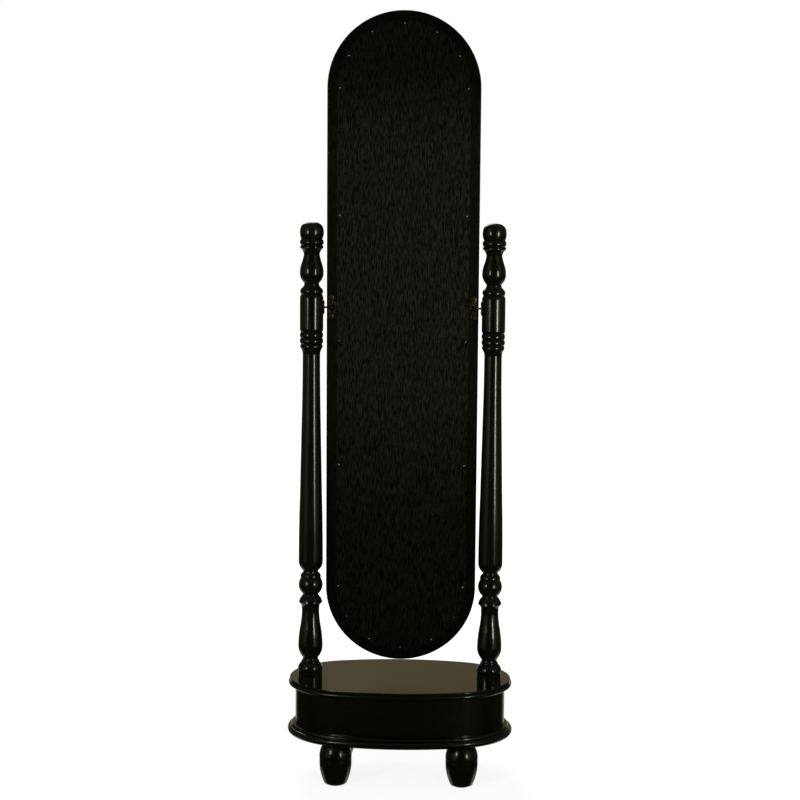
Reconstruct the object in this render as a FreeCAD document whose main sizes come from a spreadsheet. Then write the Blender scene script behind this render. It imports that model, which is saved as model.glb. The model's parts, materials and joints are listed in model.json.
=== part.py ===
import FreeCAD, Part
import os
import Sketcher
from FreeCAD import Placement, Rotation, Vector

# Cheval floor mirror: a stadium-shaped mirror hung on two pivot pins between
# turned posts, which stand on an oval box base with four turned feet.
# Millimetres, +Z up, origin on the floor under the middle of the base.  The
# glass faces -Y, so left and right are those of a person looking into it.

DIMENSIONS = {
    # feet
    "foot_spacing_x": 262, "foot_spacing_y": 188, "foot_height": 87, "foot_radius": 33.4,
    "foot_toe_radius": 20, "foot_top_radius": 24, "foot_belly_height": 54,
    "pad_thickness": 2, "pad_radius": 16,
    # oval base: a four-centre oval, flat boards above and below a hollow skirt
    "base_length": 475, "base_depth": 303, "base_end_radius": 138,
    "lower_board": 21, "lower_bead": 15, "lower_step": 5, "lower_nose": 7,
    "upper_board": 15, "upper_bead": 9, "upper_inset": 2, "upper_step": 2.5, "upper_nose": 4,
    "skirt_height": 82, "skirt_inset": 16.5, "skirt_wall": 12,
    "block_width": 50, "block_reach": 20, "block_height": 18, "block_spacing": 124,
    # turned posts
    "post_spacing": 372, "post_setback": 62, "post_flat": 23.1, "pivot_height": 785,
    # mirror
    "mirror_width": 311, "mirror_length": 1340, "mirror_drop": 70, "rest_tilt": 1.5,
    "frame_back": 5.5, "frame_thickness": 20, "frame_width": 36, "frame_round": 8,
    "glass_inset": 29, "glass_thickness": 4, "cushion_thickness": 3,
    "panel_inset": 20, "panel_thickness": 5, "seat_clearance": 0.3, "brad_margin": 6,
    "dowel_radius": 4, "dowel_length": 40, "dowel_inset": 12, "dowel_depth": 15,
    # pivot hardware
    "pin_radius": 2, "pin_in_post": 12, "pin_in_barrel": 15, "running_gap": 0.05,
    "bracket_width": 19, "bracket_height": 50, "bracket_plate": 1.5, "bracket_screws": 38,
    "barrel_radius": 4.5, "barrel_length": 16,
    "plate_width": 14, "plate_height": 27, "plate_thickness": 3, "plate_screws": 18,
    "plate_screw_length": 13, "bracket_screw_length": 13,
    # fasteners
    "bolt_radius": 4, "bolt_reach": 24, "bolt_inboard_x": 11, "bolt_inboard_y": 8,
    "bolt_head_radius": 7.5, "bolt_head_height": 5.5, "washer_radius": 11, "washer_thickness": 1.6,
    "insert_radius": 6, "insert_length": 25, "hanger_length": 56, "hanger_in_foot": 32,
    "tee_flange_radius": 9.5, "tee_flange": 1.5, "tee_barrel_radius": 5, "tee_barrel": 12,
    "hole_gap": 0.1,
}

# The turned post from its foot up.  Each station has a height, a radius and
# the rise of the curve that leads to the next one: positive swells outwards,
# negative is a hollow, 0 is straight.
POST_TURNING = [
    (0, 25.2, 0), (18.5, 25.2, 0), (19.3, 24.1, 0), (20.1, 25.2, 0), (26, 25.2, 0), (26.8, 24, 0),
    (27.6, 25.2, 3.2), (44.5, 18.2, 1.2), (48.6, 17.4, -0.9), (54.8, 16.2, 2.9),
    (82, 25.5, 0.6), (116, 22.4, -0.7), (150, 18.1, -0.3), (164, 18.8, -0.5), (171.5, 24.4, 1.4),
    # ball and small bead
    (186, 16.6, -0.4), (189, 16.4, 6.3), (222.5, 20.6, 1.7), (233, 17.8, 0), (235, 15.8, -0.3),
    (238, 15.8, 2.8),
    # long tapered shaft
    (259, 25.2, 0.6), (400, 22.9, 0), (600, 18.8, -0.2), (689, 18.1, -0.8),
    # three rings under the pivot block
    (700, 21.6, 1.6), (709.4, 21.6, 2.5), (721.7, 22, 2.2), (734, 22, 0.8),
    (742, 24.2, 0), (805, 24.2, 0.5), (811.6, 21.4, 2.8),
    # bead, neck and vase
    (824, 20.4, -0.6), (831, 15.4, -0.2), (835, 16.1, 2.5), (856.5, 24.5, 0.65), (872.8, 21.7, -0.5),
    (893, 16.3, -0.9), (904, 21.5, 2.4), (911.4, 21.7, 2.9), (923.8, 21.8, 2),
    # flattened ball on top
    (947, 23.5, 3.3), (958.5, 6, 0), (958.5, 0, 0),
]

BRAD_ROWS = 5
BRAD_ARC_STEP = 30

doc = FreeCAD.newDocument("cheval_mirror")
sheet = doc.addObject("Spreadsheet::Sheet", "Dims")
for row, (alias, size) in enumerate(DIMENSIONS.items(), start=1):
    sheet.set(f"A{row}", alias)
    sheet.set(f"B{row}", str(size))
    sheet.setAlias(f"B{row}", alias)

turning = doc.addObject("Spreadsheet::Sheet", "Turning")
for row, station in enumerate(POST_TURNING, start=1):
    for column, name, size in zip("ABC", ("level", "radius", "rise"), station):
        turning.set(f"{column}{row}", str(size))
        turning.setAlias(f"{column}{row}", f"{name}_{row}")
doc.recompute()

# Heights and places worked out from the sheet.
BOARD_FOOT = "(Dims.foot_height + Dims.pad_thickness)"
SKIRT_FOOT = f"({BOARD_FOOT} + Dims.lower_board)"
SKIRT_TOP = f"({SKIRT_FOOT} + Dims.skirt_height)"
BASE_TOP = f"({SKIRT_TOP} + Dims.upper_board)"
HALF_WIDTH = "(Dims.mirror_width / 2)"
HALF_STRAIGHT = "((Dims.mirror_length - Dims.mirror_width) / 2)"
ARC_TOP = f"({HALF_STRAIGHT} - Dims.mirror_drop)"
ARC_BOTTOM = f"(-{HALF_STRAIGHT} - Dims.mirror_drop)"
GLASS_BACK = "(Dims.frame_back + Dims.panel_thickness + Dims.cushion_thickness)"
POST_INNER = "(Dims.post_spacing / 2 - Dims.post_flat)"
BRACKET_X = f"({HALF_WIDTH} - Dims.bracket_width / 2 - 0.5)"
BOLT_X = "(Dims.post_spacing / 2 - Dims.bolt_inboard_x)"
BOLT_Y = "(Dims.post_setback - Dims.bolt_inboard_y)"
PARTS = []


def number(expression):
    return float(sheet.evalExpression(str(expression)))


# ---------------------------------------------------------------- sketching
def bind(sketch, kind, *references):
    """Add a constraint whose last reference is the expression of its size."""
    *geometry, expression = references
    index = sketch.addConstraint(Sketcher.Constraint(kind, *geometry, number(expression)))
    sketch.setExpression(f"Constraints[{index}]", str(expression))


def place_point(sketch, edge, end, x, y):
    for kind, size, axis in (("DistanceX", x, -2), ("DistanceY", y, -1)):
        if abs(number(size)) < 1e-9:
            sketch.addConstraint(Sketcher.Constraint("PointOnObject", edge, end, axis))
        else:
            bind(sketch, kind, -1, 1, edge, end, size)


def chain(sketch, stations):
    """Closed outline.  A station is x, y and the rise of the edge that leaves it."""
    ends = []
    closing = stations[1:] + stations[:1]
    for (x, y, rise), (next_x, next_y, _) in zip(stations, closing):
        start = Vector(number(x), number(y), 0)
        stop = Vector(number(next_x), number(next_y), 0)
        bulge = number(rise)
        if abs(bulge) < 1e-9:
            edge = sketch.addGeometry(Part.LineSegment(start, stop), False)
            first, last = 1, 2
        else:
            run = stop - start
            right = Vector(run.y, -run.x, 0).normalize()
            radius = run.Length**2 / (8 * abs(bulge)) + abs(bulge) / 2
            side = 1 if bulge > 0 else -1
            centre = (start + stop) / 2 + right * side * (abs(bulge) - radius)
            arms = [start - centre, stop - centre][::side]
            angles = [Vector(1, 0, 0).getAngle(arm) * (1 if arm.y >= 0 else -1) for arm in arms]
            circle = Part.Circle(centre, Vector(0, 0, 1), radius)
            edge = sketch.addGeometry(Part.ArcOfCircle(circle, *angles), False)
            first, last = (1, 2)[::side]
            if abs(radius - run.Length / 2) < 1e-6:
                sketch.addConstraint(Sketcher.Constraint("Horizontal", edge, 3, edge, 1))
            else:
                size = f"abs({rise})"
                square = f"((({next_x}) - ({x}))^2 + (({next_y}) - ({y}))^2)"
                bind(sketch, "Radius", edge, f"{square} / (8 * {size}) + {size} / 2")
        ends.append((edge, first, last))
    for (edge, _, last), (following, first, _) in zip(ends, ends[1:] + ends[:1]):
        sketch.addConstraint(Sketcher.Constraint("Coincident", edge, last, following, first))
    for (edge, first, _), (x, y, _) in zip(ends, stations):
        place_point(sketch, edge, first, x, y)


def mirrored(stations):
    """The same outline on the other side of the vertical axis."""
    rises = [station[2] for station in stations]
    rises = rises[-1:] + rises[:-1]
    return [(f"-({x})", y, rise) for (x, y, _), rise in zip(stations, rises)][::-1]


def rectangle(sketch, x0, y0, x1, y1):
    chain(sketch, [(x0, y0, 0), (x1, y0, 0), (x1, y1, 0), (x0, y1, 0)])


def circle(sketch, x, y, radius):
    shape = Part.Circle(Vector(number(x), number(y), 0), Vector(0, 0, 1), number(radius))
    edge = sketch.addGeometry(shape, False)
    place_point(sketch, edge, 3, x, y)
    bind(sketch, "Radius", edge, radius)


def stadium(sketch, inset):
    half = f"({HALF_WIDTH} - ({inset}))"
    chain(sketch, [(half, ARC_BOTTOM, 0), (half, ARC_TOP, half),
                   (f"-{half}", ARC_TOP, 0), (f"-{half}", ARC_BOTTOM, half)])


def oval(sketch, inset):
    """Four-centre oval: two end arcs joined to two flatter side arcs."""
    length, depth, end = "(Dims.base_length / 2)", "(Dims.base_depth / 2)", "Dims.base_end_radius"
    end_x = f"({length} - {end})"
    side = f"(({end_x}^2 + {depth}^2 - {end}^2) / (2 * ({depth} - {end})))"
    side_y = f"({side} - {depth})"
    lean = Vector(1, 0, 0).getAngle(Vector(number(end_x), number(side_y), 0))
    quarter = Vector(1, 0, 0).getAngle(Vector(0, 1, 0))
    arcs = [(end_x, 0, end, -lean, lean), (0, f"-{side_y}", side, lean, 2 * quarter - lean),
            (f"-{end_x}", 0, end, 2 * quarter - lean, 2 * quarter + lean),
            (0, side_y, side, 2 * quarter + lean, 4 * quarter - lean)]
    edges = []
    for x, y, radius, start, stop in arcs:
        size = number(radius) - number(inset)
        shape = Part.Circle(Vector(number(x), number(y), 0), Vector(0, 0, 1), size)
        edges.append(sketch.addGeometry(Part.ArcOfCircle(shape, start, stop), False))
    for edge, following in zip(edges, edges[1:] + edges[:1]):
        sketch.addConstraint(Sketcher.Constraint("Tangent", edge, 2, following, 1))
    for edge in (edges[0], edges[2]):
        place_point(sketch, edge, 3, arcs[edges.index(edge)][0], 0)
        bind(sketch, "Radius", edge, f"{end} - ({inset})")
    for edge in (edges[1], edges[3]):
        bind(sketch, "DistanceY", -1, 1, edge, 3, arcs[edges.index(edge)][1])


# ----------------------------------------------------------------- features
def new_body(name, x=0, y=0, z=0):
    body = doc.addObject("PartDesign::Body", name)
    body.Label = name
    for axis, size in zip("xyz", (x, y, z)):
        body.setExpression(f"Placement.Base.{axis}", str(size))
    PARTS.append(body)
    return body


def mirror_body(name):
    """A piece of the swinging mirror: its frame is the pivot axis, tilted back."""
    body = new_body(name, 0, "Dims.post_setback", f"{BASE_TOP} + Dims.pivot_height")
    body.Placement = Placement(body.Placement.Base, Rotation(Vector(-1, 0, 0), number("Dims.rest_tilt")))
    body.setExpression("Placement.Rotation.Angle", "Dims.rest_tilt")
    return body


def plane(body, role):
    return next(item for item in body.Origin.OriginFeatures if item.Role == role)


def new_sketch(body, role, offset=0):
    sketch = body.newObject("Sketcher::SketchObject", f"{body.Name}_sketch")
    sketch.AttachmentSupport = [(plane(body, role), "")]
    sketch.MapMode = "FlatFace"
    sketch.setExpression("AttachmentOffset.Base.z", str(offset))
    return sketch


def pad(body, role, offset, length, draw, *shape):
    sketch = new_sketch(body, role, offset)
    draw(sketch, *shape)
    feature = body.newObject("PartDesign::Pad", f"{body.Name}_pad")
    feature.Profile = sketch
    feature.setExpression("Length", str(length))
    doc.recompute()
    return feature


def pocket(body, role, offset, length, reverse, draw, *shape):
    before = body.Shape.Volume
    sketch = new_sketch(body, role, offset)
    draw(sketch, *shape)
    feature = body.newObject("PartDesign::Pocket", f"{body.Name}_pocket")
    feature.Profile = sketch
    feature.Reversed = reverse
    feature.setExpression("Length", str(length))
    doc.recompute()
    if body.Shape.Volume > before - 1e-3:
        raise RuntimeError(f"{feature.Name} removes nothing")
    return feature


def revolve(body, role, stations, offset=0, angle=360, reverse=False):
    sketch = new_sketch(body, role, offset)
    chain(sketch, stations)
    feature = body.newObject("PartDesign::Revolution", f"{body.Name}_turned")
    feature.Profile = sketch
    feature.ReferenceAxis = (sketch, ["V_Axis"])
    feature.Angle = angle
    feature.Reversed = reverse
    doc.recompute()
    return feature


def round_rims(body, levels, radius):
    """Round every edge that lies wholly in one of the given levels."""
    base = body.Tip
    heights = [number(level) for level in levels]
    names = []
    for index, edge in enumerate(base.Shape.Edges, start=1):
        box = edge.BoundBox
        flat = box.ZLength < 1e-6
        if flat and any(abs(box.ZMin - height) < 1e-6 for height in heights):
            names.append(f"Edge{index}")
    feature = body.newObject("PartDesign::Fillet", f"{body.Name}_round")
    feature.Base = (base, names)
    feature.setExpression("Radius", str(radius))
    doc.recompute()
    return feature


def mirror_across(body, *roles):
    """Repeat everything in the body on the far side of its own planes."""
    solids = [item for item in body.Group if item.TypeId.startswith("PartDesign::")]
    feature = body.newObject("PartDesign::MultiTransform", f"{body.Name}_set")
    feature.Originals = solids
    steps = []
    for role in roles:
        step = doc.addObject("PartDesign::Mirrored", f"{body.Name}_mirror")
        body.addObject(step)
        step.MirrorPlane = (plane(body, role), [""])
        steps.append(step)
    feature.Transformations = steps
    body.Tip = feature
    doc.recompute()


def post_stations():
    rows = range(1, len(POST_TURNING) + 1)
    outline = [(f"Turning.radius_{row}", f"Turning.level_{row}", f"Turning.rise_{row}") for row in rows]
    return [(0, 0, 0)] + outline


# -------------------------------------------------------------------- stand
def make_feet():
    toe, belly, top = "Dims.foot_toe_radius", "Dims.foot_radius", "Dims.foot_top_radius"
    outline = [(0, 0, 0), (toe, 0, 0.9), (f"{toe} + 4.5", 4, 3),
               (belly, "Dims.foot_belly_height", 3.4), (top, "Dims.foot_height", 0),
               (0, "Dims.foot_height", 0)]
    for side, x_sign in (("left", "-"), ("right", "")):
        for end, y_sign in (("front", "-"), ("rear", "")):
            foot = new_body(f"foot_{end}_{side}", f"{x_sign}Dims.foot_spacing_x / 2",
                            f"{y_sign}Dims.foot_spacing_y / 2", "Dims.pad_thickness")
            revolve(foot, "XZ_Plane", outline)
            pocket(foot, "XY_Plane", "Dims.foot_height", "Dims.hanger_in_foot + 1", False,
                   circle, 0, 0, "Dims.bolt_radius + Dims.hole_gap")


def make_foot_hardware():
    x, y = "Dims.foot_spacing_x / 2", "Dims.foot_spacing_y / 2"
    pads = new_body("foot_pads")
    pad(pads, "XY_Plane", 0, "Dims.pad_thickness", circle, x, y, "Dims.pad_radius")
    mirror_across(pads, "YZ_Plane", "XZ_Plane")

    bolts = new_body("foot_hanger_bolts", z=f"{BOARD_FOOT} - Dims.hanger_in_foot")
    pad(bolts, "XY_Plane", 0, "Dims.hanger_length", circle, x, y, "Dims.bolt_radius")
    mirror_across(bolts, "YZ_Plane", "XZ_Plane")

    nuts = new_body("foot_tee_nuts", z=SKIRT_FOOT)
    pad(nuts, "XY_Plane", "-Dims.tee_barrel", "Dims.tee_barrel", circle, x, y, "Dims.tee_barrel_radius")
    pad(nuts, "XY_Plane", 0, "Dims.tee_flange", circle, x, y, "Dims.tee_flange_radius")
    pocket(nuts, "XY_Plane", "-Dims.tee_barrel", "Dims.tee_barrel + Dims.tee_flange", True,
           circle, x, y, "Dims.bolt_radius + Dims.hole_gap / 2")
    mirror_across(nuts, "YZ_Plane", "XZ_Plane")


def four_corners(sketch, x, y, radius):
    for x_sign in ("", "-"):
        for y_sign in ("", "-"):
            circle(sketch, f"{x_sign}({x})", f"{y_sign}({y})", radius)


def side_pair(sketch, x, y, radius):
    for sign in ("", "-"):
        circle(sketch, f"{sign}({x})", y, radius)


SCREW_X = "Dims.block_spacing / 2"
SCREW_Y = "(Dims.base_depth / 2 - Dims.skirt_inset - Dims.skirt_wall - Dims.block_reach / 2)"
SCREW_END = "(Dims.base_length / 2 - Dims.skirt_inset - Dims.skirt_wall - Dims.block_reach / 2)"


def board_screw_holes(board, radius, depth):
    pocket(board, "XY_Plane", 0, depth, True, four_corners, SCREW_X, SCREW_Y, radius)
    pocket(board, "XY_Plane", 0, depth, True, side_pair, SCREW_END, 0, radius)


def make_base():
    lower = new_body("base_bottom_board", z=BOARD_FOOT)
    pad(lower, "XY_Plane", 0, "Dims.lower_bead", oval, 0)
    round_rims(lower, [0, "Dims.lower_bead"], "Dims.lower_nose")
    pad(lower, "XY_Plane", "Dims.lower_bead", "Dims.lower_board - Dims.lower_bead", oval,
        "Dims.lower_step + 3")
    round_rims(lower, ["Dims.lower_board"], "Dims.lower_step - 1")
    pocket(lower, "XY_Plane", 0, "Dims.lower_board", True, four_corners,
           "Dims.foot_spacing_x / 2", "Dims.foot_spacing_y / 2", "Dims.tee_barrel_radius + Dims.hole_gap")
    pocket(lower, "XY_Plane", 0, "Dims.lower_board", True, side_pair, BOLT_X, BOLT_Y,
           "Dims.bolt_radius + Dims.hole_gap")
    board_screw_holes(lower, 2.1, "Dims.lower_board")
    board_screw_holes(lower, 4.4, 3)

    skirt = new_body("base_skirt", z=SKIRT_FOOT)
    pad(skirt, "XY_Plane", 0, "Dims.skirt_height", oval, "Dims.skirt_inset")
    pocket(skirt, "XY_Plane", 0, "Dims.skirt_height", True, oval, "Dims.skirt_inset + Dims.skirt_wall")

    upper = new_body("base_top_board", z=SKIRT_TOP)
    pad(upper, "XY_Plane", 0, "Dims.upper_bead", oval, "Dims.upper_inset")
    round_rims(upper, [0, "Dims.upper_bead"], "Dims.upper_nose")
    pad(upper, "XY_Plane", "Dims.upper_bead", "Dims.upper_board - Dims.upper_bead", oval,
        "Dims.upper_inset + Dims.upper_step")
    round_rims(upper, ["Dims.upper_board"], "Dims.upper_step - 0.5")
    pocket(upper, "XY_Plane", 0, "Dims.upper_board", True, side_pair, BOLT_X, BOLT_Y,
           "Dims.bolt_radius + Dims.hole_gap")


def block_plan(sketch):
    """Everything inside the skirt that is not a glue block."""
    rectangle(sketch, "-Dims.base_length", "-Dims.base_depth", "Dims.base_length", "Dims.base_depth")
    half = "Dims.block_width / 2"
    inner_y = f"({SCREW_Y} - Dims.block_reach / 2)"
    inner_x = f"({SCREW_END} - Dims.block_reach / 2)"
    outer_y, outer_x = f"({inner_y} + 30)", f"({inner_x} + 30)"
    for x_sign in ("", "-"):
        middle = f"{x_sign}({SCREW_X})"
        for low, high in ((inner_y, outer_y), (f"-{outer_y}", f"-{inner_y}")):
            rectangle(sketch, f"{middle} - {half}", low, f"{middle} + {half}", high)
    for low, high in ((inner_x, outer_x), (f"-{outer_x}", f"-{inner_x}")):
        rectangle(sketch, low, f"-{half}", high, half)


def make_glue_blocks():
    blocks = new_body("skirt_glue_blocks", z=f"{SKIRT_FOOT} + Dims.skirt_height / 2")
    foot = "-Dims.skirt_height / 2"
    pad(blocks, "XY_Plane", foot, "Dims.block_height", oval, "Dims.skirt_inset + Dims.skirt_wall")
    pocket(blocks, "XY_Plane", foot, "Dims.block_height", True, block_plan)
    mirror_across(blocks, "XY_Plane")
    for draw, x, y in ((four_corners, SCREW_X, SCREW_Y), (side_pair, SCREW_END, 0)):
        pocket(blocks, "XY_Plane", foot, 14, True, draw, x, y, 2)

    screws = new_body("base_board_screws", z=BOARD_FOOT)
    for draw, x, y in ((four_corners, SCREW_X, SCREW_Y), (side_pair, SCREW_END, 0)):
        pad(screws, "XY_Plane", 0.5, 2.4, draw, x, y, 4)
        pad(screws, "XY_Plane", 2.9, "Dims.lower_board + 10", draw, x, y, 1.9)


def make_posts():
    for side, sign, inward in (("left", "-", True), ("right", "", False)):
        post = new_body(f"post_{side}", f"{sign}Dims.post_spacing / 2", "Dims.post_setback", BASE_TOP)
        revolve(post, "XZ_Plane", post_stations())
        facing = "" if inward else "-"
        low = "Dims.pivot_height - Dims.plate_height / 2 - Dims.hole_gap"
        high = "Dims.pivot_height + Dims.plate_height / 2 + Dims.hole_gap"
        half = "Dims.plate_width / 2 + Dims.hole_gap"
        pocket(post, "YZ_Plane", f"{facing}Dims.post_flat", 5, inward,
               rectangle, f"-({half})", low, half, high)
        pocket(post, "YZ_Plane", f"{facing}(Dims.post_flat - Dims.pin_in_post - 0.5)", 20, inward,
               circle, 0, "Dims.pivot_height", "Dims.pin_radius + Dims.running_gap")
        pocket(post, "YZ_Plane", f"{facing}(Dims.post_flat - Dims.plate_screw_length)", 20, inward,
               vertical_pair, 0, "Dims.plate_screws", 1.7, "Dims.pivot_height")
        inner_x = f"{facing}Dims.bolt_inboard_x"
        pocket(post, "XY_Plane", 0, "Dims.insert_length + 1", True, circle,
               inner_x, "-Dims.bolt_inboard_y", "Dims.insert_radius + Dims.hole_gap")


def make_post_hardware():
    bolts = new_body("post_bolts", z=BOARD_FOOT)
    head = "-(Dims.washer_thickness + Dims.bolt_head_height)"
    pad(bolts, "XY_Plane", head, "Dims.bolt_head_height", hexagon_pair, BOLT_X, BOLT_Y,
        "Dims.bolt_head_radius")
    shank = f"{BASE_TOP} - {BOARD_FOOT} + Dims.washer_thickness + Dims.bolt_reach - 2"
    pad(bolts, "XY_Plane", "-Dims.washer_thickness", shank, side_pair, BOLT_X, BOLT_Y, "Dims.bolt_radius")

    washers = new_body("post_bolt_washers", z=BOARD_FOOT)
    pad(washers, "XY_Plane", "-Dims.washer_thickness", "Dims.washer_thickness", side_pair,
        BOLT_X, BOLT_Y, "Dims.washer_radius")
    pocket(washers, "XY_Plane", "-Dims.washer_thickness", "Dims.washer_thickness", True, side_pair,
           BOLT_X, BOLT_Y, "Dims.bolt_radius + Dims.hole_gap")

    inserts = new_body("post_threaded_inserts", z=BASE_TOP)
    pad(inserts, "XY_Plane", 0, "Dims.insert_length", side_pair, BOLT_X, BOLT_Y, "Dims.insert_radius")
    pocket(inserts, "XY_Plane", 0, "Dims.insert_length", True, side_pair, BOLT_X, BOLT_Y,
           "Dims.bolt_radius + Dims.hole_gap / 2")


def hexagon_pair(sketch, x, y, radius):
    corners = [(1, 0), (0.5, 0.8660254), (-0.5, 0.8660254), (-1, 0), (-0.5, -0.8660254), (0.5, -0.8660254)]
    for sign in ("", "-"):
        chain(sketch, [(f"{sign}({x}) + {across} * {radius}", f"{y} + {along} * {radius}", 0)
                       for across, along in corners])


def vertical_pair(sketch, x, spacing, radius, middle=0):
    for sign in ("+", "-"):
        circle(sketch, x, f"{middle} {sign} {spacing} / 2", radius)


def make_post_pivots():
    pivot = f"{BASE_TOP} + Dims.pivot_height"
    for side, sign in (("left", "-"), ("right", "")):
        face = f"{sign}{POST_INNER}"
        inward = sign == "-"
        near = f"{face} {'+' if inward else '-'} Dims.plate_thickness"
        low_face = face if inward else near
        plate = new_body(f"post_plate_{side}", low_face, "Dims.post_setback", pivot)
        half_w, half_h = "Dims.plate_width / 2", "Dims.plate_height / 2"
        pad(plate, "YZ_Plane", 0, "Dims.plate_thickness", rectangle,
            f"-{half_w}", f"-{half_h}", half_w, half_h)
        pocket(plate, "YZ_Plane", 0, "Dims.plate_thickness", True, circle, 0, 0,
               "Dims.pin_radius + Dims.running_gap")
        pocket(plate, "YZ_Plane", 0, "Dims.plate_thickness", True, vertical_pair, 0,
               "Dims.plate_screws", 1.7)

        screws = new_body(f"post_plate_screws_{side}", near, "Dims.post_setback", pivot)
        head_from, shank_from = (0, "-Dims.plate_screw_length") if inward else ("-0.9", 0)
        pad(screws, "YZ_Plane", head_from, 0.9, vertical_pair, 0, "Dims.plate_screws", 2.6)
        pad(screws, "YZ_Plane", shank_from, "Dims.plate_screw_length", vertical_pair, 0,
            "Dims.plate_screws", 1.6)

        pin = new_body(f"pivot_pin_{side}", 0, "Dims.post_setback", pivot)
        inner_end = f"({BRACKET_X} + Dims.barrel_length / 2 - Dims.pin_in_barrel)"
        outer_end = f"({POST_INNER} + Dims.pin_in_post)"
        start = f"-{outer_end}" if inward else inner_end
        pad(pin, "YZ_Plane", start, f"{outer_end} - {inner_end}", circle, 0, 0, "Dims.pin_radius")


# ------------------------------------------------------------------- mirror
def frame_section():
    """Section of the frame's right side: rabbets behind, round and cove in front."""
    back, front = "-Dims.frame_back", "-(Dims.frame_back + Dims.frame_thickness)"
    ledge = "-(Dims.frame_back + Dims.panel_thickness)"
    seat = f"-({GLASS_BACK} + Dims.glass_thickness)"
    round_rise = "0.292893 * Dims.frame_round"

    def at(inset):
        return f"{HALF_WIDTH} - ({inset})"

    return [(at(0), f"{back} - 2.5", 0.732), (at(2.5), back, 0),
            (at("Dims.panel_inset"), back, 0), (at("Dims.panel_inset"), ledge, 0),
            (at("Dims.glass_inset"), ledge, 0), (at("Dims.glass_inset"), seat, 0),
            (at("Dims.frame_width"), seat, 0), (at("Dims.frame_width"), f"{front} + 5", -1.3),
            (at("Dims.frame_width - 7"), f"{front} + 0.8", 0),
            (at("Dims.frame_width - 8.5"), front, 0), (at("Dims.frame_round"), front, round_rise),
            (at(0), f"{front} + Dims.frame_round", 0)]


def dowel_hole(body, level, sign, upward):
    x = f"{sign}({HALF_WIDTH} - Dims.dowel_inset)"
    pocket(body, "XY_Plane", level, "Dims.dowel_length / 2", upward, circle,
           x, "-Dims.dowel_depth", "Dims.dowel_radius + Dims.hole_gap / 2")


def make_frame():
    for side, sign, section in (("left", "-", mirrored(frame_section())), ("right", "", frame_section())):
        stile = mirror_body(f"frame_stile_{side}")
        pad(stile, "XY_Plane", ARC_BOTTOM, f"2 * {HALF_STRAIGHT}", chain, section)
        dowel_hole(stile, ARC_BOTTOM, sign, True)
        dowel_hole(stile, ARC_TOP, sign, False)
        pocket(stile, "XZ_Plane", "Dims.frame_back", "Dims.bracket_screw_length", True, vertical_pair,
               f"{sign}{BRACKET_X}", "Dims.bracket_screws", 1.9)
    for name, level, over in (("top", ARC_TOP, True), ("bottom", ARC_BOTTOM, False)):
        arch = mirror_body(f"frame_arch_{name}")
        revolve(arch, "XY_Plane", frame_section(), level, 180, over)
        for sign in ("-", ""):
            dowel_hole(arch, level, sign, over)

    dowels = mirror_body("frame_dowels")
    for level in (ARC_TOP, ARC_BOTTOM):
        x = f"({HALF_WIDTH} - Dims.dowel_inset)"
        pad(dowels, "XY_Plane", f"{level} - Dims.dowel_length / 2 + 0.5", "Dims.dowel_length - 1",
            side_pair, x, "-Dims.dowel_depth", "Dims.dowel_radius")


def brad_places():
    """Where the brads stand: a row up each side of the panel and a fan round each end."""
    reach = f"({HALF_WIDTH} - Dims.panel_inset - Dims.brad_margin)"
    places = []
    for step in range(BRAD_ROWS):
        level = f"({ARC_BOTTOM} + {step} * 2 * {HALF_STRAIGHT} / {BRAD_ROWS - 1})"
        places += [(reach, level), (f"-{reach}", level)]
    for angle in range(BRAD_ARC_STEP, 180, BRAD_ARC_STEP):
        across, rise = f"{reach} * cos({angle} deg)", f"{reach} * sin({angle} deg)"
        places += [(across, f"{ARC_TOP} + {rise}"), (across, f"{ARC_BOTTOM} - {rise}")]
    return places


def brad_circles(sketch, radius):
    for x, z in brad_places():
        circle(sketch, x, z, radius)


def make_mirror_fill():
    glass = mirror_body("mirror_glass")
    pad(glass, "XZ_Plane", GLASS_BACK, "Dims.glass_thickness", stadium, "Dims.glass_inset + Dims.seat_clearance")

    cushion = mirror_body("glass_cushion_sheet")
    pad(cushion, "XZ_Plane", "Dims.frame_back + Dims.panel_thickness", "Dims.cushion_thickness",
        stadium, "Dims.glass_inset + Dims.seat_clearance")

    panel = mirror_body("mirror_back_panel")
    pad(panel, "XZ_Plane", "Dims.frame_back", "Dims.panel_thickness", stadium,
        "Dims.panel_inset + Dims.seat_clearance")
    pocket(panel, "XZ_Plane", "Dims.frame_back", "Dims.panel_thickness", True, brad_circles, 0.75)

    brads = mirror_body("back_panel_brads")
    pad(brads, "XZ_Plane", "Dims.frame_back - 0.5", 0.5, brad_circles, 1.3)
    pad(brads, "XZ_Plane", "Dims.frame_back", 12, brad_circles, 0.7)


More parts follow.
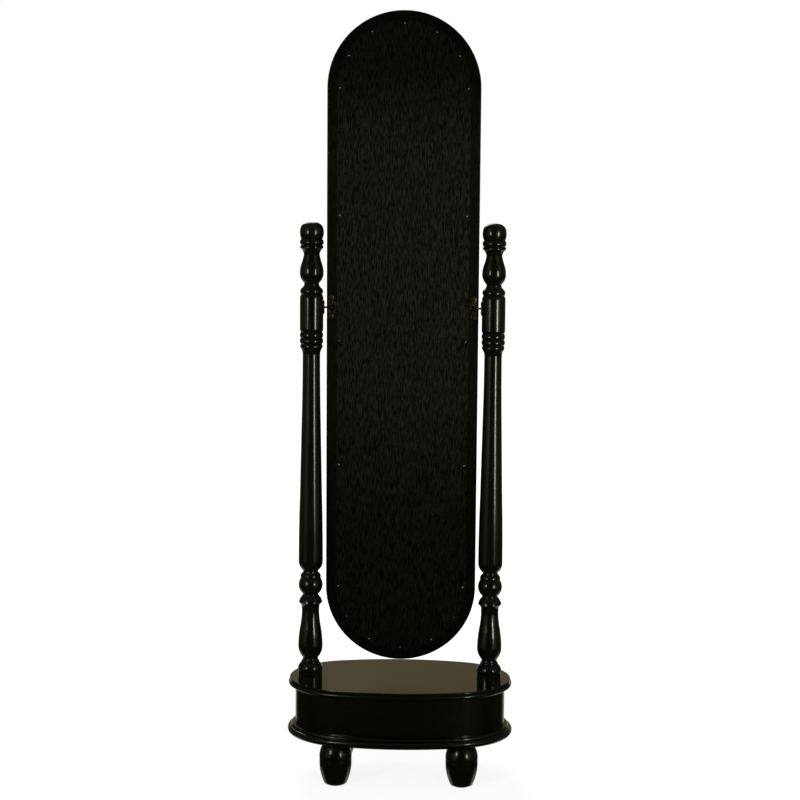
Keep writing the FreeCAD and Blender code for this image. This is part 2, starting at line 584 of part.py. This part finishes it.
def make_brackets():
    half_w, half_h = "Dims.bracket_width / 2", "Dims.bracket_height / 2"
    for side, sign in (("left", "-"), ("right", "")):
        x = f"{sign}{BRACKET_X}"
        bracket = mirror_body(f"pivot_bracket_{side}")
        outside = "Dims.frame_back - Dims.bracket_plate"
        pad(bracket, "XZ_Plane", outside, "Dims.bracket_plate", rectangle,
            f"{x} - {half_w}", f"-{half_h}", f"{x} + {half_w}", half_h)
        pad(bracket, "YZ_Plane", f"{x} - Dims.barrel_length / 2", "Dims.barrel_length",
            circle, 0, 0, "Dims.barrel_radius")
        pocket(bracket, "YZ_Plane", f"{x} - Dims.barrel_length / 2", "Dims.barrel_length", True,
               circle, 0, 0, "Dims.pin_radius + Dims.running_gap")
        pocket(bracket, "XZ_Plane", outside, "Dims.bracket_plate", True,
               vertical_pair, x, "Dims.bracket_screws", 1.9)
        pocket(bracket, "XZ_Plane", "-Dims.barrel_radius", "Dims.barrel_radius - Dims.pin_radius", True,
               circle, x, 0, 1.6)

    screws = mirror_body("pivot_bracket_screws")
    clamps = mirror_body("pivot_clamp_screws")
    for sign in ("-", ""):
        x = f"{sign}{BRACKET_X}"
        pad(screws, "XZ_Plane", "Dims.frame_back - Dims.bracket_plate - 1.6", 1.6,
            vertical_pair, x, "Dims.bracket_screws", 3.5)
        pad(screws, "XZ_Plane", "Dims.frame_back - Dims.bracket_plate", "Dims.bracket_screw_length",
            vertical_pair, x, "Dims.bracket_screws", 1.8)
        pad(clamps, "XZ_Plane", "-(Dims.barrel_radius + 2.6)", 2.4, circle, x, 0, 3.2)
        pad(clamps, "XZ_Plane", "-(Dims.barrel_radius + 0.2)", "Dims.barrel_radius - Dims.pin_radius",
            circle, x, 0, 1.5)


# -------------------------------------------------------------------- write
def check_and_write():
    doc.recompute()
    for item in doc.Objects:
        if "Invalid" in item.State or "Error" in item.State:
            raise RuntimeError(f"{item.Name} is {item.State}")
    os.makedirs("parts", exist_ok=True)
    for part in PARTS:
        if part.Shape.isNull() or not part.Shape.isValid():
            raise RuntimeError(f"{part.Label} has no valid shape")
        part.Shape.exportStep(os.path.join("parts", f"{part.Label}.step"))
        box = part.Shape.BoundBox
        print(f"{part.Label}: {len(part.Shape.Solids)} solids, {part.Shape.Volume / 1000:.1f} cm3, "
              f"x {box.XMin:.1f} {box.XMax:.1f}, y {box.YMin:.1f} {box.YMax:.1f}, "
              f"z {box.ZMin:.1f} {box.ZMax:.1f}")


make_feet()
make_foot_hardware()
make_base()
make_glue_blocks()
make_posts()
make_post_hardware()
make_post_pivots()
make_frame()
make_mirror_fill()
make_brackets()
check_and_write()
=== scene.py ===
import json
import math
import bmesh
import bpy
from mathutils import Euler, Matrix, Vector


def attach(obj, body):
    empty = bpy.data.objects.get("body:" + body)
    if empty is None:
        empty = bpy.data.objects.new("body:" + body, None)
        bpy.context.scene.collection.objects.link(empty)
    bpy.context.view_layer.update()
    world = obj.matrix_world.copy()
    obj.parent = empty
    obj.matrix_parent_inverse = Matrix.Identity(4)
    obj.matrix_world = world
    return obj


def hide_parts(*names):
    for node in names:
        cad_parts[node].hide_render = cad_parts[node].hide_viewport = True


# Looks of the cheval floor mirror around its CAD frame: materials, shaped
# hardware that replaces the plain CAD pieces, a studio and a camera.  Metres
# and +Z up, as in the frame.  The glass faces -Y and the camera looks at the
# mirror's back, from +Y.

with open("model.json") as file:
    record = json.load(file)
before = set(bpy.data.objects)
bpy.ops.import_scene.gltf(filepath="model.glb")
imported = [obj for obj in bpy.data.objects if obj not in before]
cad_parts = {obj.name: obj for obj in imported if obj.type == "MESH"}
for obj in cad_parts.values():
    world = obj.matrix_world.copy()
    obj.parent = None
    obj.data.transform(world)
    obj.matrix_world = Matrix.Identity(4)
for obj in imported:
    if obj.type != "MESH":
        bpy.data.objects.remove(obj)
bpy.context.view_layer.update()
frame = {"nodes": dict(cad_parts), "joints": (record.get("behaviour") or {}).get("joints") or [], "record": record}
NODES = frame["nodes"]
MM = 0.001


# ------------------------------------------------------------ node materials
class Shader:
    """Builds one material: each method adds nodes and hands back what the next one needs."""

    def __init__(self, name):
        self.material = bpy.data.materials.new(name)
        self.material.use_nodes = True
        self.tree = self.material.node_tree
        self.bsdf = self.tree.nodes["Principled BSDF"]
        self.place = self.add("ShaderNodeTexCoord").outputs["Object"]

    def add(self, kind, **values):
        """A new node with its own settings, or the defaults of its inputs, filled in."""
        node = self.tree.nodes.new(kind)
        for key, value in values.items():
            if hasattr(node, key):
                setattr(node, key, value)
            else:
                node.inputs[key].default_value = value
        return node

    def link(self, source, node, socket):
        """Feeds an input of the node, and returns the node."""
        self.tree.links.new(source, node.inputs[socket])
        return node

    def stretched(self, scale):
        """The object's own coordinates, scaled apart so that grain runs long."""
        mapping = self.add("ShaderNodeMapping", Scale=scale)
        self.link(self.place, mapping, "Vector")
        return mapping.outputs["Vector"]

    def noise(self, vector, scale, detail=4.0, roughness=0.55):
        node = self.add("ShaderNodeTexNoise", Scale=scale, Detail=detail, Roughness=roughness)
        self.link(vector, node, "Vector")
        return node.outputs["Fac"]

    def spread(self, source, low, high, to_low, to_high):
        """Maps low..high to to_low..to_high, in a straight line."""
        node = self.add("ShaderNodeMapRange")
        ends = {"From Min": low, "From Max": high, "To Min": to_low, "To Max": to_high}
        for socket, value in ends.items():
            node.inputs[socket].default_value = value
        self.link(source, node, "Value")
        return node.outputs["Result"]

    def soft_step(self, source, low, high, to_low, to_high):
        """As spread, with eased ends."""
        result = self.spread(source, low, high, to_low, to_high)
        result.node.interpolation_type = "SMOOTHSTEP"
        return result

    def band(self, rise_from, rise_to, fall_from, fall_to, peak):
        """1 outside a range of heights and peak inside it, with soft ends."""
        split = self.link(self.place, self.add("ShaderNodeSeparateXYZ"), "Vector")
        rise = self.soft_step(split.outputs["Z"], rise_from, rise_to, 0.0, 1.0)
        fall = self.soft_step(split.outputs["Z"], fall_from, fall_to, peak - 1.0, 0.0)
        node = self.add("ShaderNodeMath", operation="MULTIPLY_ADD")
        for index, source in enumerate((rise, fall)):
            self.link(source, node, index)
        node.inputs[2].default_value = 1.0
        return node.outputs["Value"]

    def scaled(self, colour, factor):
        node = self.add("ShaderNodeVectorMath", operation="SCALE")
        self.link(colour, node, 0)
        self.link(factor, node, "Scale")
        return node.outputs["Vector"]

    def ramp(self, source, *stops):
        """Colours by value; a stop is a position and its colour."""
        node = self.add("ShaderNodeValToRGB")
        elements = node.color_ramp.elements
        while len(elements) < len(stops):
            elements.new(1.0)
        for element, (position, colour) in zip(elements, stops):
            element.position = position
            element.color = (*colour, 1.0)
        self.link(source, node, "Fac")
        return node.outputs["Color"]

    def bump(self, height, distance, strength, below=None):
        """A normal from a height, on top of the normal below it if there is one."""
        node = self.add("ShaderNodeBump", Strength=strength, Distance=distance)
        self.link(height, node, "Height")
        if below is not None:
            self.link(below, node, "Normal")
        return node.outputs["Normal"]

    def finish(self, colour, roughness=None, normal=None, **constants):
        """Links what varies and sets what is the same all over the surface."""
        for source, socket in ((colour, "Base Color"), (roughness, "Roughness"), (normal, "Normal")):
            if source is not None:
                self.link(source, self.bsdf, socket)
        for key, value in constants.items():
            self.bsdf.inputs[key.replace("_", " ")].default_value = value
        return self.material


# How finely the grain repeats along x, y and z, per metre.
GRAIN_UPRIGHT = (420, 420, 16)
GRAIN_LENGTHWISE = (16, 420, 420)
GRAIN_SHORT = (520, 520, 70)
PORE_FINENESS = 1.4

# Heights above the floor where the painted sheen on the back of the mirror, a
# lighter band of base colour standing in for the lights' reflection, starts to
# lighten, is lightest, starts to darken and is dark again.
PAINTED_SHEEN_HEIGHTS = (0.45, 0.95, 1.3, 1.5)

GLOSS = 0.5


def lacquer(name, grain, dark, light, roughness, ripple, pores=0.0, painted_sheen_lift=1.0, shine=GLOSS):
    """Black lacquer over wood: the grain shows faintly through the film.

    ripple is how far the grain stands in the film and pores how deep its open
    pores are, in metres.  painted_sheen_lift is how much lighter the base colour
    is painted in the band of heights where the lights' sheen falls.  A
    shine below GLOSS is a satin film, with neither a clear coat nor waves.
    """
    s = Shader(name)
    glossy = shine >= GLOSS
    fine = s.noise(s.stretched(grain), 1.0, 6.0, 0.6)
    broad = s.noise(s.place, 9.0, 3.0)
    colour = s.ramp(fine, (0.4, dark), (0.62, light))
    # Painted sheen: the base colour is made lighter in a band of heights, where the lights' reflection falls on
    # the film.
    if painted_sheen_lift > 1.0:
        colour = s.scaled(colour, s.band(*PAINTED_SHEEN_HEIGHTS, painted_sheen_lift))
    rough = s.spread(broad, 0.3, 0.7, roughness * 0.85, roughness * 1.2)
    normal = s.bump(fine, ripple, 0.5)
    if glossy:
        normal = s.bump(broad, 0.0006, 0.12, normal)
    if pores:
        open_grain = s.noise(s.stretched([scale * PORE_FINENESS for scale in grain]), 1.0, 2.0)
        pit = s.spread(open_grain, 0.52, 0.62, 1.0, 0.0)
        normal = s.bump(pit, pores, 0.8, normal)
    return s.finish(colour, rough, normal, Specular_IOR_Level=shine, IOR=1.5,
                    Coat_Weight=0.3 if glossy else 0.0, Coat_Roughness=0.11)


def base_lacquer(name):
    return lacquer(name, GRAIN_LENGTHWISE, dark=(0.0012, 0.0013, 0.0005),
                   light=(0.0025, 0.0027, 0.0011), roughness=0.2, ripple=0.00005)


def post_lacquer(name):
    return lacquer(name, GRAIN_UPRIGHT, dark=(0.0016, 0.0017, 0.0008),
                   light=(0.0036, 0.0038, 0.0018), roughness=0.19, ripple=0.00008)


# The frame gets a band of painted sheen: lighter base colour at the heights where the lights reflect.
def frame_lacquer(name):
    return lacquer(name, GRAIN_SHORT, dark=(0.0014, 0.0015, 0.0009),
                   light=(0.0034, 0.0036, 0.0022), roughness=0.24, ripple=0.00012,
                   painted_sheen_lift=2.0, shine=0.08)


# The back panel gets a stronger band of painted sheen: lighter base colour at the heights where the lights
# reflect.
def panel_lacquer(name):
    return lacquer(name, GRAIN_SHORT, dark=(0.0006, 0.0007, 0.0003),
                   light=(0.0066, 0.007, 0.0044), roughness=0.25, ripple=0.00022,
                   pores=0.00016, painted_sheen_lift=2.3, shine=0.07)


def antique_brass(name):
    """Warm metal showing through dark patina."""
    s = Shader(name)
    blotch = s.noise(s.place, 380.0, 6.0, 0.68)
    black, brown, worn = (0.01, 0.009, 0.004), (0.055, 0.043, 0.018), (0.6, 0.52, 0.33)
    colour = s.ramp(blotch, (0.4, black), (0.54, brown), (0.7, worn))
    rough = s.spread(blotch, 0.35, 0.7, 0.55, 0.26)
    normal = s.bump(s.noise(s.place, 700.0), 0.0004, 0.8)
    return s.finish(colour, rough, normal, Metallic=1.0)


def zinc_steel(name):
    """Plated steel with faint streaks."""
    s = Shader(name)
    streak = s.noise(s.stretched((400, 400, 60)), 1.0)
    colour = s.ramp(streak, (0.3, (0.42, 0.41, 0.38)), (0.7, (0.68, 0.67, 0.64)))
    rough = s.spread(streak, 0.3, 0.7, 0.25, 0.42)
    return s.finish(colour, rough, s.bump(streak, 0.0001, 0.3), Metallic=1.0)


def raw_wood(name):
    """Unfinished softwood with upright grain."""
    s = Shader(name)
    grain = s.noise(s.stretched((160, 160, 12)), 1.0, 6.0, 0.6)
    colour = s.ramp(grain, (0.3, (0.32, 0.2, 0.1)), (0.7, (0.6, 0.43, 0.25)))
    return s.finish(colour, s.spread(grain, 0.3, 0.7, 0.6, 0.8), s.bump(grain, 0.0003, 0.5))


def fibrous(name, dark, light):
    """Matted fibres, for felt and card."""
    s = Shader(name)
    fibre = s.noise(s.place, 1400.0, 6.0, 0.7)
    clump = s.noise(s.place, 220.0)
    normal = s.bump(clump, 0.0004, 0.4, s.bump(fibre, 0.0003, 0.8))
    colour = s.ramp(fibre, (0.3, dark), (0.7, light))
    return s.finish(colour, None, normal, Roughness=0.95, Sheen_Weight=0.4)


def cushion(name):
    return fibrous(name, dark=(0.3, 0.28, 0.25), light=(0.5, 0.48, 0.44))


def felt(name):
    return fibrous(name, dark=(0.018, 0.016, 0.014), light=(0.06, 0.055, 0.05))


def mirror_glass(name):
    """Silvered glass with a trace of haze."""
    s = Shader(name)
    haze = s.noise(s.place, 14.0, 5.0, 0.6)
    rough = s.spread(haze, 0.4, 0.8, 0.012, 0.035)
    colour = s.ramp(haze, (0.3, (0.84, 0.87, 0.865)), (0.7, (0.87, 0.89, 0.885)))
    return s.finish(colour, rough, Metallic=1.0, Coat_Weight=0.5, Coat_Roughness=0.02)


MAKERS = (base_lacquer, post_lacquer, frame_lacquer, panel_lacquer, antique_brass, zinc_steel,
          raw_wood, cushion, felt, mirror_glass)
MATERIALS = {make.__name__: make(make.__name__) for make in MAKERS}


def paint_frame():
    """Gives each CAD node the material of its slot."""
    for entry in frame["record"]["subparts"]:
        node = NODES[entry["node"]]
        node.data.materials.clear()
        node.data.materials.append(MATERIALS[entry["material_slot"]])


# ---------------------------------------------------------- hardware pieces
# Drawn in millimetres.  What turns with the mirror is drawn in the mirror's
# own frame: its origin is the middle of the pivot axis, +Z runs up the mirror
# and +Y points out of its back.  At rest its top leans towards +Y.
REST_TILT = math.radians(-1.5)
PIVOT_PLACE = Matrix.Translation(frame["joints"][0]["pos_m"])
MIRROR_PLACE = PIVOT_PLACE @ Matrix.Rotation(REST_TILT, 4, "X")
AXES = {"X": (Vector((1, 0, 0)), Vector((0, 1, 0)), Vector((0, 0, 1))),
        "Y": (Vector((0, 1, 0)), Vector((0, 0, 1)), Vector((1, 0, 0)))}


def box_in(place, node):
    """(lowest corner, highest corner) of a CAD node in the frame at place, to 0.01 mm."""
    back = place.inverted()
    points = [back @ vertex.co / MM for vertex in NODES[node].data.vertices]
    return [[round(pick(point[axis] for point in points), 2) for axis in range(3)]
            for pick in (min, max)]


BRACKET_LOW, BRACKET_HIGH = box_in(MIRROR_PLACE, "pivot_bracket_right")
PLATE_LOW, PLATE_HIGH = box_in(PIVOT_PLACE, "post_plate_right")
STILE_LOW, STILE_HIGH = box_in(MIRROR_PLACE, "frame_stile_right")

# Cast brackets: a plate on the back face of the mirror, with a barrel across
# it and a screw in each of its two round ears.  The barrel is drawn closed
# round the pin, which enters within MOUTH_RADIUS of its middle.
BRACKET_X = (BRACKET_LOW[0] + BRACKET_HIGH[0]) / 2
BRACKET_HALF_WIDTH = (BRACKET_HIGH[0] - BRACKET_LOW[0]) / 2
BRACKET_HALF_HEIGHT = (BRACKET_HIGH[2] - BRACKET_LOW[2]) / 2
BRACKET_THICKNESS = 1.5
MIRROR_FACE = BRACKET_LOW[1]
BRACKET_FACE = MIRROR_FACE + BRACKET_THICKNESS
EAR_RADIUS = 6
EAR_RISE = BRACKET_HALF_HEIGHT - EAR_RADIUS
BARREL_RADIUS = BRACKET_HIGH[1]
BARREL_END = 8
MOUTH_RADIUS = 2.05

# Screws near the ends of the posts' pivot plates, on the side of the mirror.
PLATE_FACE = PLATE_LOW[0]
PLATE_SCREW_INSET = 4.5
PLATE_SCREW_RISE = PLATE_HIGH[2] - PLATE_SCREW_INSET

# Brads round the back panel, by their distance in from the mirror's edge.
BRAD_INSET = 26
BRAD_REACH = STILE_HIGH[0] - BRAD_INSET
BRAD_ROWS = 5
BRAD_ARC_STEP = 30


def loft(bm, rings, closed=True):
    """Joins each ring of points to the next with quads, and returns the vertices."""
    made = [[bm.verts.new(point) for point in ring] for ring in rings]
    count = len(made[0])
    for lower, upper in zip(made, made[1:]):
        for k in range(count if closed else count - 1):
            after = (k + 1) % count
            bm.faces.new((lower[k], lower[after], upper[after], upper[k]))
    return made


def cap(bm, made):
    """Closes both ends of a loft."""
    bm.faces.new(reversed(made[0]))
    bm.faces.new(made[-1])


def lathe(bm, centre, axis, profile, segments=40, knurl=0.0):
    """Turns (radius, distance along the axis) pairs; knurl is the depth of ribs round the rim."""
    along, across, up = AXES[axis]
    rings = []
    for radius, distance in profile:
        ring = []
        for k in range(segments):
            angle = 2 * math.pi * k / segments
            reach = radius - knurl * (k % 2)
            spoke = across * math.cos(angle) + up * math.sin(angle)
            ring.append(Vector(centre) + along * distance + spoke * reach)
        rings.append(ring)
    cap(bm, loft(bm, rings))


def slotted_head(bm, centre, axis, facing, radius, rise, turn):
    """A domed screw head with a straight driver slot, turned by an angle.

    The head is lofted from columns of points across it.  Each column starts and
    ends on the skirt, sunk a little below the face that the head lies on.
    """
    along, across, up = AXES[axis]
    slot_half_width = radius * 0.14
    slot_floor = rise * 0.3
    skirt = -0.3
    steps = 12

    def column(x, shape):
        half = math.sqrt(radius ** 2 - x ** 2)
        points = [(x, -half, skirt)]
        for k in range(steps + 1):
            y = half * math.sin(math.pi * (k / steps - 0.5))
            dome = rise * (1.0 - 0.6 * (x * x + y * y) / radius ** 2)
            points.append((x, y, {"dome": dome, "slot": slot_floor, "skirt": skirt}[shape]))
        return points + [(x, half, skirt)]

    side = [radius * math.sin(math.radians(angle)) for angle in (84, 70, 56, 44, 32, 20)]
    columns = [column(-side[0], "skirt")] + [column(-x, "dome") for x in side]
    for x, shape in ((-slot_half_width, "dome"), (-slot_half_width, "slot"),
                     (slot_half_width, "slot"), (slot_half_width, "dome")):
        columns.append(column(x, shape))
    columns += [column(x, "dome") for x in reversed(side)] + [column(side[0], "skirt")]
    cos, sin = math.cos(turn), math.sin(turn)
    rings = []
    for points in columns:
        rings.append([Vector(centre) + along * (height * facing) + across * (x * cos - y * sin)
                      + up * (x * sin + y * cos) for x, y, height in points])
    loft(bm, rings, closed=False)


def bracket_outline():
    """Outline of the cast plate, as (x, z): a broad middle, narrow necks and round ears."""
    shoulder_x, shoulder_z = BRACKET_HALF_WIDTH - 0.1, 7.2
    neck_x, neck_z = 4.87, 15.5
    side = [(BRACKET_HALF_WIDTH, 0), (BRACKET_HALF_WIDTH, 4), (shoulder_x, shoulder_z)]
    steps = 8
    for k in range(1, steps + 1):
        part = k / steps
        ease = 0.5 - 0.5 * math.cos(math.pi * part)
        side.append((shoulder_x - (shoulder_x - neck_x) * ease,
                     shoulder_z + (neck_z - shoulder_z) * part))
    for degrees in range(-24, 90, 12):
        angle = math.radians(degrees)
        side.append((EAR_RADIUS * math.cos(angle), EAR_RISE + EAR_RADIUS * math.sin(angle)))
    upper = side + [(-x, z) for x, z in reversed(side)]
    return upper + [(x, -z) for x, z in reversed(upper)][1:-1]


def bracket_mesh(bm, sign):
    """The plate, its edge rounded towards the front, and the grooved barrel."""
    centre = sign * BRACKET_X
    rings = []
    for depth, size in ((MIRROR_FACE, 1.0), (BRACKET_FACE - 0.45, 1.0), (BRACKET_FACE - 0.1, 0.985),
                        (BRACKET_FACE, 0.955)):
        rings.append([(centre + x * size, depth, z * size) for x, z in bracket_outline()])
    cap(bm, loft(bm, rings))
    half = [(BARREL_RADIUS - 0.5, BARREL_END), (BARREL_RADIUS - 0.15, BARREL_END - 0.3),
            (BARREL_RADIUS, BARREL_END - 1), (BARREL_RADIUS, 4.2), (BARREL_RADIUS - 0.35, 3.9),
            (BARREL_RADIUS - 0.35, 3.4), (BARREL_RADIUS, 3.1)]
    half.insert(0, (MOUTH_RADIUS, BARREL_END))
    profile = [(radius, -reach) for radius, reach in half] + half[::-1]
    lathe(bm, (centre, 0, 0), "X", profile)


def bracket_screw_mesh(bm):
    places = [(x, z) for x in (-BRACKET_X, BRACKET_X) for z in (-EAR_RISE, EAR_RISE)]
    for k, (x, z) in enumerate(places):
        slotted_head(bm, (x, BRACKET_FACE, z), "Y", 1, radius=3.5, rise=1.5, turn=0.5 + 1.3 * k)


def clamp_screw_mesh(bm):
    """Each screw is a neck that comes out of the barrel and a knurled head with a rounded top."""
    neck = [(1.5, -0.3), (2.7, 0.25)]
    head = [(3.2, 0.6), (3.2, 1.9), (2.8, 2.45), (1.9, 2.55), (0.05, 2.6)]
    for x in (-BRACKET_X, BRACKET_X):
        for profile, knurl in ((neck, 0.0), (neck[1:] + head, 0.22)):
            standing = [(radius, BARREL_RADIUS + rise) for radius, rise in profile]
            lathe(bm, (x, 0, 0), "Y", standing, segments=44, knurl=knurl)


def plate_screw_mesh(bm, sign):
    for k, z in enumerate((-PLATE_SCREW_RISE, PLATE_SCREW_RISE)):
        slotted_head(bm, (sign * PLATE_FACE, 0, z), "X", -sign, radius=2.6, rise=0.85,
                     turn=0.8 + 1.1 * k)


def brad_mesh(bm):
    """Domed heads: a row up each side of the back panel and a fan round each end."""
    bottom, top = STILE_LOW[2], STILE_HIGH[2]
    places = []
    for row in range(BRAD_ROWS):
        height = bottom + row * (top - bottom) / (BRAD_ROWS - 1)
        places += [(BRAD_REACH, height), (-BRAD_REACH, height)]
    for degrees in range(BRAD_ARC_STEP, 180, BRAD_ARC_STEP):
        angle = math.radians(degrees)
        x, rise = BRAD_REACH * math.cos(angle), BRAD_REACH * math.sin(angle)
        places += [(x, top + rise), (x, bottom - rise)]
    dome = [(1.3, -0.05), (1.25, 0.22), (0.95, 0.4), (0.5, 0.48), (0.02, 0.5)]
    head = [(radius, MIRROR_FACE + rise) for radius, rise in dome]
    for x, z in places:
        lathe(bm, (x, 0, z), "Y", head, segments=20)


def add_piece(name, draw, place, slot, body, *nodes):
    """Draws a piece in millimetres at place, to move with a body and stand for CAD nodes."""
    bm = bmesh.new()
    draw(bm)
    bmesh.ops.scale(bm, vec=(MM, MM, MM), verts=bm.verts)
    bm.transform(place)
    bmesh.ops.recalc_face_normals(bm, faces=bm.faces)
    mesh = bpy.data.meshes.new(name)
    bm.to_mesh(mesh)
    bm.free()
    mesh.materials.append(MATERIALS[slot])
    mesh.shade_smooth()
    mesh.set_sharp_from_angle(angle=math.radians(40))
    piece = bpy.data.objects.new(name, mesh)
    bpy.context.scene.collection.objects.link(piece)
    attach(piece, body)
    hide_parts(*nodes)


def add_hardware():
    for side, sign in (("left", -1), ("right", 1)):
        add_piece(f"cast_bracket_{side}", lambda bm: bracket_mesh(bm, sign), MIRROR_PLACE,
                  "antique_brass", "mirror", f"pivot_bracket_{side}")
        add_piece(f"slotted_plate_screws_{side}", lambda bm: plate_screw_mesh(bm, sign), PIVOT_PLACE,
                  "antique_brass", "stand", f"post_plate_screws_{side}")
    add_piece("slotted_bracket_screws", bracket_screw_mesh, MIRROR_PLACE,
              "antique_brass", "mirror", "pivot_bracket_screws")
    add_piece("knurled_clamp_screws", clamp_screw_mesh, MIRROR_PLACE,
              "antique_brass", "mirror", "pivot_clamp_screws")
    add_piece("domed_brads", brad_mesh, MIRROR_PLACE,
              "zinc_steel", "mirror", "back_panel_brads")


# How far the square edges of the flat metal and the cut wood are broken, in
# millimetres.
EDGE_BREAKS = {"post_plate_left": 0.5, "post_plate_right": 0.5, "pivot_pin_left": 0.3,
               "pivot_pin_right": 0.3, "post_bolt_washers": 0.3, "skirt_glue_blocks": 0.6}


def soften_edges():
    for name, width in EDGE_BREAKS.items():
        bevel = NODES[name].modifiers.new("edge", "BEVEL")
        bevel.width = width * MM
        bevel.segments = 2
        bevel.limit_method = "ANGLE"
        bevel.angle_limit = math.radians(50)


# --------------------------------------------------------------------- stage
# Colours of the studio that reflections see, and of the backdrop.
STUDIO_DARK = (0.008, 0.0078, 0.006)
STUDIO_CEILING = (0.09, 0.09, 0.075)
STUDIO_FLOOR = (0.5, 0.5, 0.49)
WALL_LOW = (0.6, 0.6, 0.58)
WALL_WARM = (0.2, 0.163, 0.08)
GLOW_BEHIND_CAMERA = (0.2, 0.2, 0.14)
GLOW_BEYOND = (0.06, 0.06, 0.05)
BACKDROP = (1, 1, 1)


def make_world():
    """White backdrop; reflections see a dark studio with a warm wall beyond the -Y side."""
    world = bpy.data.worlds.new("studio")
    bpy.context.scene.world = world
    world.use_nodes = True
    tree = world.node_tree
    tree.nodes.clear()
    add = tree.nodes.new
    link = tree.links.new
    split = add("ShaderNodeSeparateXYZ")
    link(add("ShaderNodeTexCoord").outputs["Generated"], split.inputs["Vector"])

    def fade(axis, low, high):
        """0 below low and 1 above high, along one axis of the direction."""
        node = add("ShaderNodeMapRange")
        node.interpolation_type = "SMOOTHSTEP"
        node.inputs["From Min"].default_value = low
        node.inputs["From Max"].default_value = high
        link(split.outputs[axis], node.inputs["Value"])
        return node.outputs["Result"]

    def blend(factor, first, second):
        """Goes from first to second; each is a colour or another blend."""
        node = add("ShaderNodeMix")
        node.data_type = "RGBA"
        link(factor, node.inputs["Factor"])
        inputs = [socket for socket in node.inputs if socket.type == "RGBA"]
        for socket, source in zip(inputs, (first, second)):
            if isinstance(source, tuple):
                socket.default_value = (*source, 1)
            else:
                link(source, socket)
        return next(socket for socket in node.outputs if socket.type == "RGBA")

    def flanks(glow):
        """Dark in the middle and below, glowing at the left and at the right."""
        raised = blend(fade("Z", -0.26, -0.08), STUDIO_DARK, glow)
        left = blend(fade("X", -0.66, -0.5), raised, STUDIO_DARK)
        return blend(fade("X", 0.5, 0.66), left, raised)

    # The pale floor is seen only on the -Y side, in front of the wall.
    sides = blend(fade("Y", 0.25, 0.45), flanks(GLOW_BEYOND), flanks(GLOW_BEHIND_CAMERA))
    above = blend(fade("Z", 0.4, 0.8), sides, STUDIO_CEILING)
    with_floor = blend(fade("Z", -0.5, -0.32), STUDIO_FLOOR, above)
    room = blend(fade("Y", -0.4, -0.2), with_floor, above)
    wall = blend(fade("Z", 0.04, 0.1), WALL_LOW, WALL_WARM)
    studio = blend(fade("Y", -0.93, -0.8), wall, room)
    dim = add("ShaderNodeBackground")
    link(studio, dim.inputs["Color"])
    bright = add("ShaderNodeBackground")
    bright.inputs["Color"].default_value = (*BACKDROP, 1)
    mix = add("ShaderNodeMixShader")
    link(add("ShaderNodeLightPath").outputs["Is Camera Ray"], mix.inputs["Fac"])
    link(dim.outputs["Background"], mix.inputs[1])
    link(bright.outputs["Background"], mix.inputs[2])
    link(mix.outputs["Shader"], add("ShaderNodeOutputWorld").inputs["Surface"])


FLOOR_HALF_SIZE = 30.0
FLOOR_DROP = 0.0004


def make_floor():
    """A pale floor that glows a little, so only the contact shadows show."""
    mesh = bpy.data.meshes.new("floor")
    corners = [(x * FLOOR_HALF_SIZE, y * FLOOR_HALF_SIZE, -FLOOR_DROP)
               for x, y in ((-1, -1), (1, -1), (1, 1), (-1, 1))]
    mesh.from_pydata(corners, [], [(0, 1, 2, 3)])
    floor = bpy.data.objects.new("floor", mesh)
    bpy.context.scene.collection.objects.link(floor)
    s = Shader("floor")
    speckle = s.noise(s.place, 60.0)
    away = s.link(s.place, s.add("ShaderNodeVectorMath", operation="LENGTH"), 0)
    glow = s.soft_step(away.outputs["Value"], 0.25, 1.4, 0.88, 1.05)
    s.link(glow, s.bsdf, "Emission Strength")
    colour = s.ramp(speckle, (0.3, (0.78, 0.78, 0.77)), (0.7, (0.82, 0.82, 0.81)))
    s.finish(colour, Roughness=0.9, Emission_Color=(1, 1, 1, 1))
    mesh.materials.append(s.material)
    floor.visible_glossy = False


def softbox(name, place, aim, width, height, power, colour=(1, 1, 1), spread=180):
    """A rectangular light; spread is the angle, in degrees, that it fills."""
    light = bpy.data.lights.new(name, "AREA")
    light.shape = "RECTANGLE"
    light.size = width
    light.size_y = height
    light.energy = power
    light.color = colour
    light.spread = math.radians(spread)
    lamp = bpy.data.objects.new(name, light)
    lamp.location = place
    lamp.rotation_euler = (Vector(aim) - Vector(place)).to_track_quat("-Z", "Y").to_euler()
    lamp.visible_camera = False
    bpy.context.scene.collection.objects.link(lamp)


def make_lights():
    warm = (1, 0.98, 0.8)
    softbox("key_left", place=(2.06, 2.75, 1.22), aim=(0, 0.06, 1.0),
            width=0.42, height=0.9, power=12.5, colour=warm)
    softbox("key_right", place=(-2.2, 2.76, 0.95), aim=(-0.4, 0.06, 0.95),
            width=0.4, height=1.5, power=2.0, colour=warm, spread=40)
    softbox("front_fill", place=(0.8, -3.2, 2.9), aim=(0, 0, 0.8),
            width=1.6, height=1.6, power=20)


def make_camera():
    """Stands behind the mirror, a little above its pivot, and looks slightly down."""
    camera = bpy.data.cameras.new("camera")
    camera.sensor_width = 36.0
    camera.lens = 94.5
    camera.shift_y = -0.02475
    camera.clip_start = 0.1
    camera.clip_end = 100.0
    eye = bpy.data.objects.new("camera", camera)
    turn, down, lean = math.radians(181.167), math.radians(6.519), math.radians(0.473)
    place = Matrix.Translation((-0.0831, 4.34, 1.3323))
    aim = Euler((math.pi / 2 - down, 0, turn)).to_matrix().to_4x4()
    eye.matrix_world = place @ aim @ Matrix.Rotation(lean, 4, "Z")
    bpy.context.scene.collection.objects.link(eye)
    bpy.context.scene.camera = eye


paint_frame()
add_hardware()
soften_edges()
make_world()
make_floor()
make_lights()
make_camera()
bpy.context.scene.view_settings.view_transform = "Standard"
